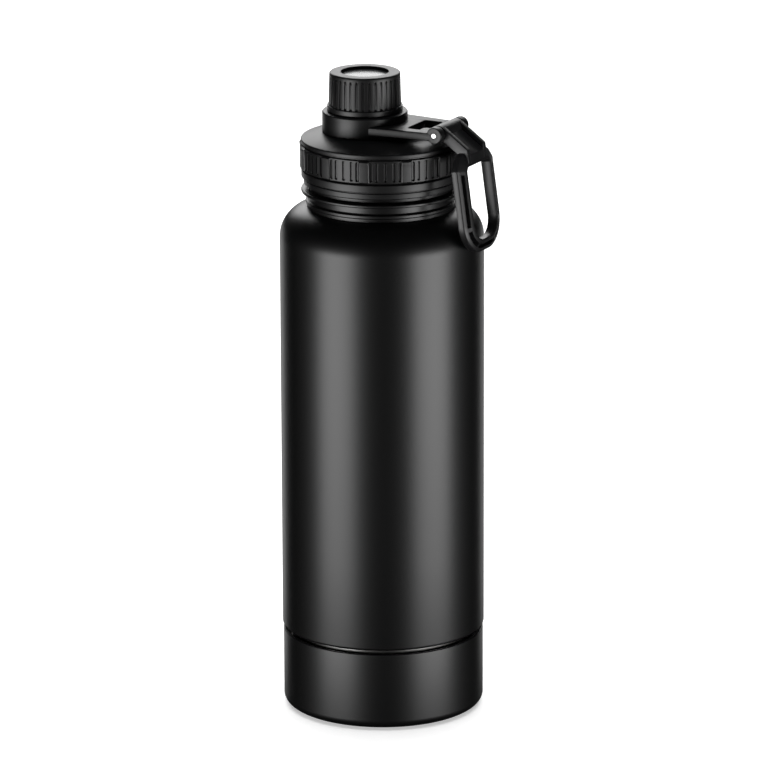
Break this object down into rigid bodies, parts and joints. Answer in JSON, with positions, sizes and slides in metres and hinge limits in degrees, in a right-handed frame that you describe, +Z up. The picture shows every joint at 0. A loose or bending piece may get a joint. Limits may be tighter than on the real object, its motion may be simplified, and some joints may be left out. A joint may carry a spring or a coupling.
{
  "type": "growler",
  "caption": "Insulated steel growler with a screw-on base cup, a wide knurled lid, an off-centre ribbed spout cap and a hinged carry loop.",
  "frame": {"origin": "centre of the underside of the foot pad", "axes": "+Z up along the bottle's axis, +X from that axis to the carry loop's hinge"},
  "size_m": [0.0974, 0.09, 0.288],
  "materials": {
    "black_coat": "satin black powder coat",
    "steel": "brushed stainless steel",
    "pin_steel": "polished stainless steel",
    "lid_plastic": "moulded black plastic with a fine texture",
    "loop_plastic": "moulded black plastic, slightly softer",
    "liner_plastic": "moulded dark grey plastic",
    "foam": "rigid white foam",
    "gasket": "soft translucent silicone",
    "foot_rubber": "black non-slip rubber",
    "cap_disc": "spun metal disc"
  },
  "bodies": {
    "bottle": {"outer_shell": "black_coat", "inner_vessel": "steel", "outer_base_plate": "steel", "vacuum_seal_disc": "steel", "base_thread_ring": "steel"},
    "base_seal": {"base_gasket": "gasket"},
    "base": {"base_cup": "black_coat", "foot_pad": "foot_rubber", "base_thread_insert": "steel"},
    "lid_seal": {"lid_gasket": "gasket"},
    "lid": {"lid_shell": "lid_plastic", "grip_ring": "lid_plastic", "lid_liner": "liner_plastic", "lid_insulation": "foam", "spout_insert": "steel", "spout_collar": "lid_plastic", "handle_yoke": "loop_plastic", "hinge_pin": "pin_steel", "hinge_washers": "pin_steel"},
    "cap_seal": {"cap_gasket": "gasket"},
    "cap": {"cap_shell": "lid_plastic", "cap_top_disc": "cap_disc", "cap_liner": "liner_plastic"},
    "loop": {"carry_loop": "loop_plastic"}
  },
  "joints": [
    {"name": "lid_rise", "type": "slide", "parent": "bottle", "child": "lid_seal", "axis": [0, 0, 1], "range_m": [0, 0.0081]},
    {"name": "lid_turn", "type": "hinge", "parent": "lid_seal", "child": "lid", "pos_m": [0, 0, 0.245], "axis": [0, 0, 1], "range_deg": [0, 720]},
    {"name": "cap_rise", "type": "slide", "parent": "lid", "child": "cap_seal", "axis": [0, 0, 1], "range_m": [0, 0.0061]},
    {"name": "cap_turn", "type": "hinge", "parent": "cap_seal", "child": "cap", "pos_m": [-0.0082, 0, 0.278], "axis": [0, 0, 1], "range_deg": [0, 720]},
    {"name": "base_drop", "type": "slide", "parent": "bottle", "child": "base_seal", "axis": [0, 0, -1], "range_m": [0, 0.0039]},
    {"name": "base_turn", "type": "hinge", "parent": "base_seal", "child": "base", "pos_m": [0, 0, 0.03], "axis": [0, 0, -1], "range_deg": [0, 450]},
    {"name": "loop_swing", "type": "hinge", "parent": "lid", "child": "loop", "pos_m": [0.0326, 0, 0.266], "axis": [0, -1, 0], "range_deg": [-3, 140]}
  ],
  "couplings": [
    {"joint": "lid_rise", "follows": "lid_turn", "m_per_rad": 0.00063662},
    {"joint": "cap_rise", "follows": "cap_turn", "m_per_rad": 0.00047746},
    {"joint": "base_drop", "follows": "base_turn", "m_per_rad": 0.00047746}
  ]
}
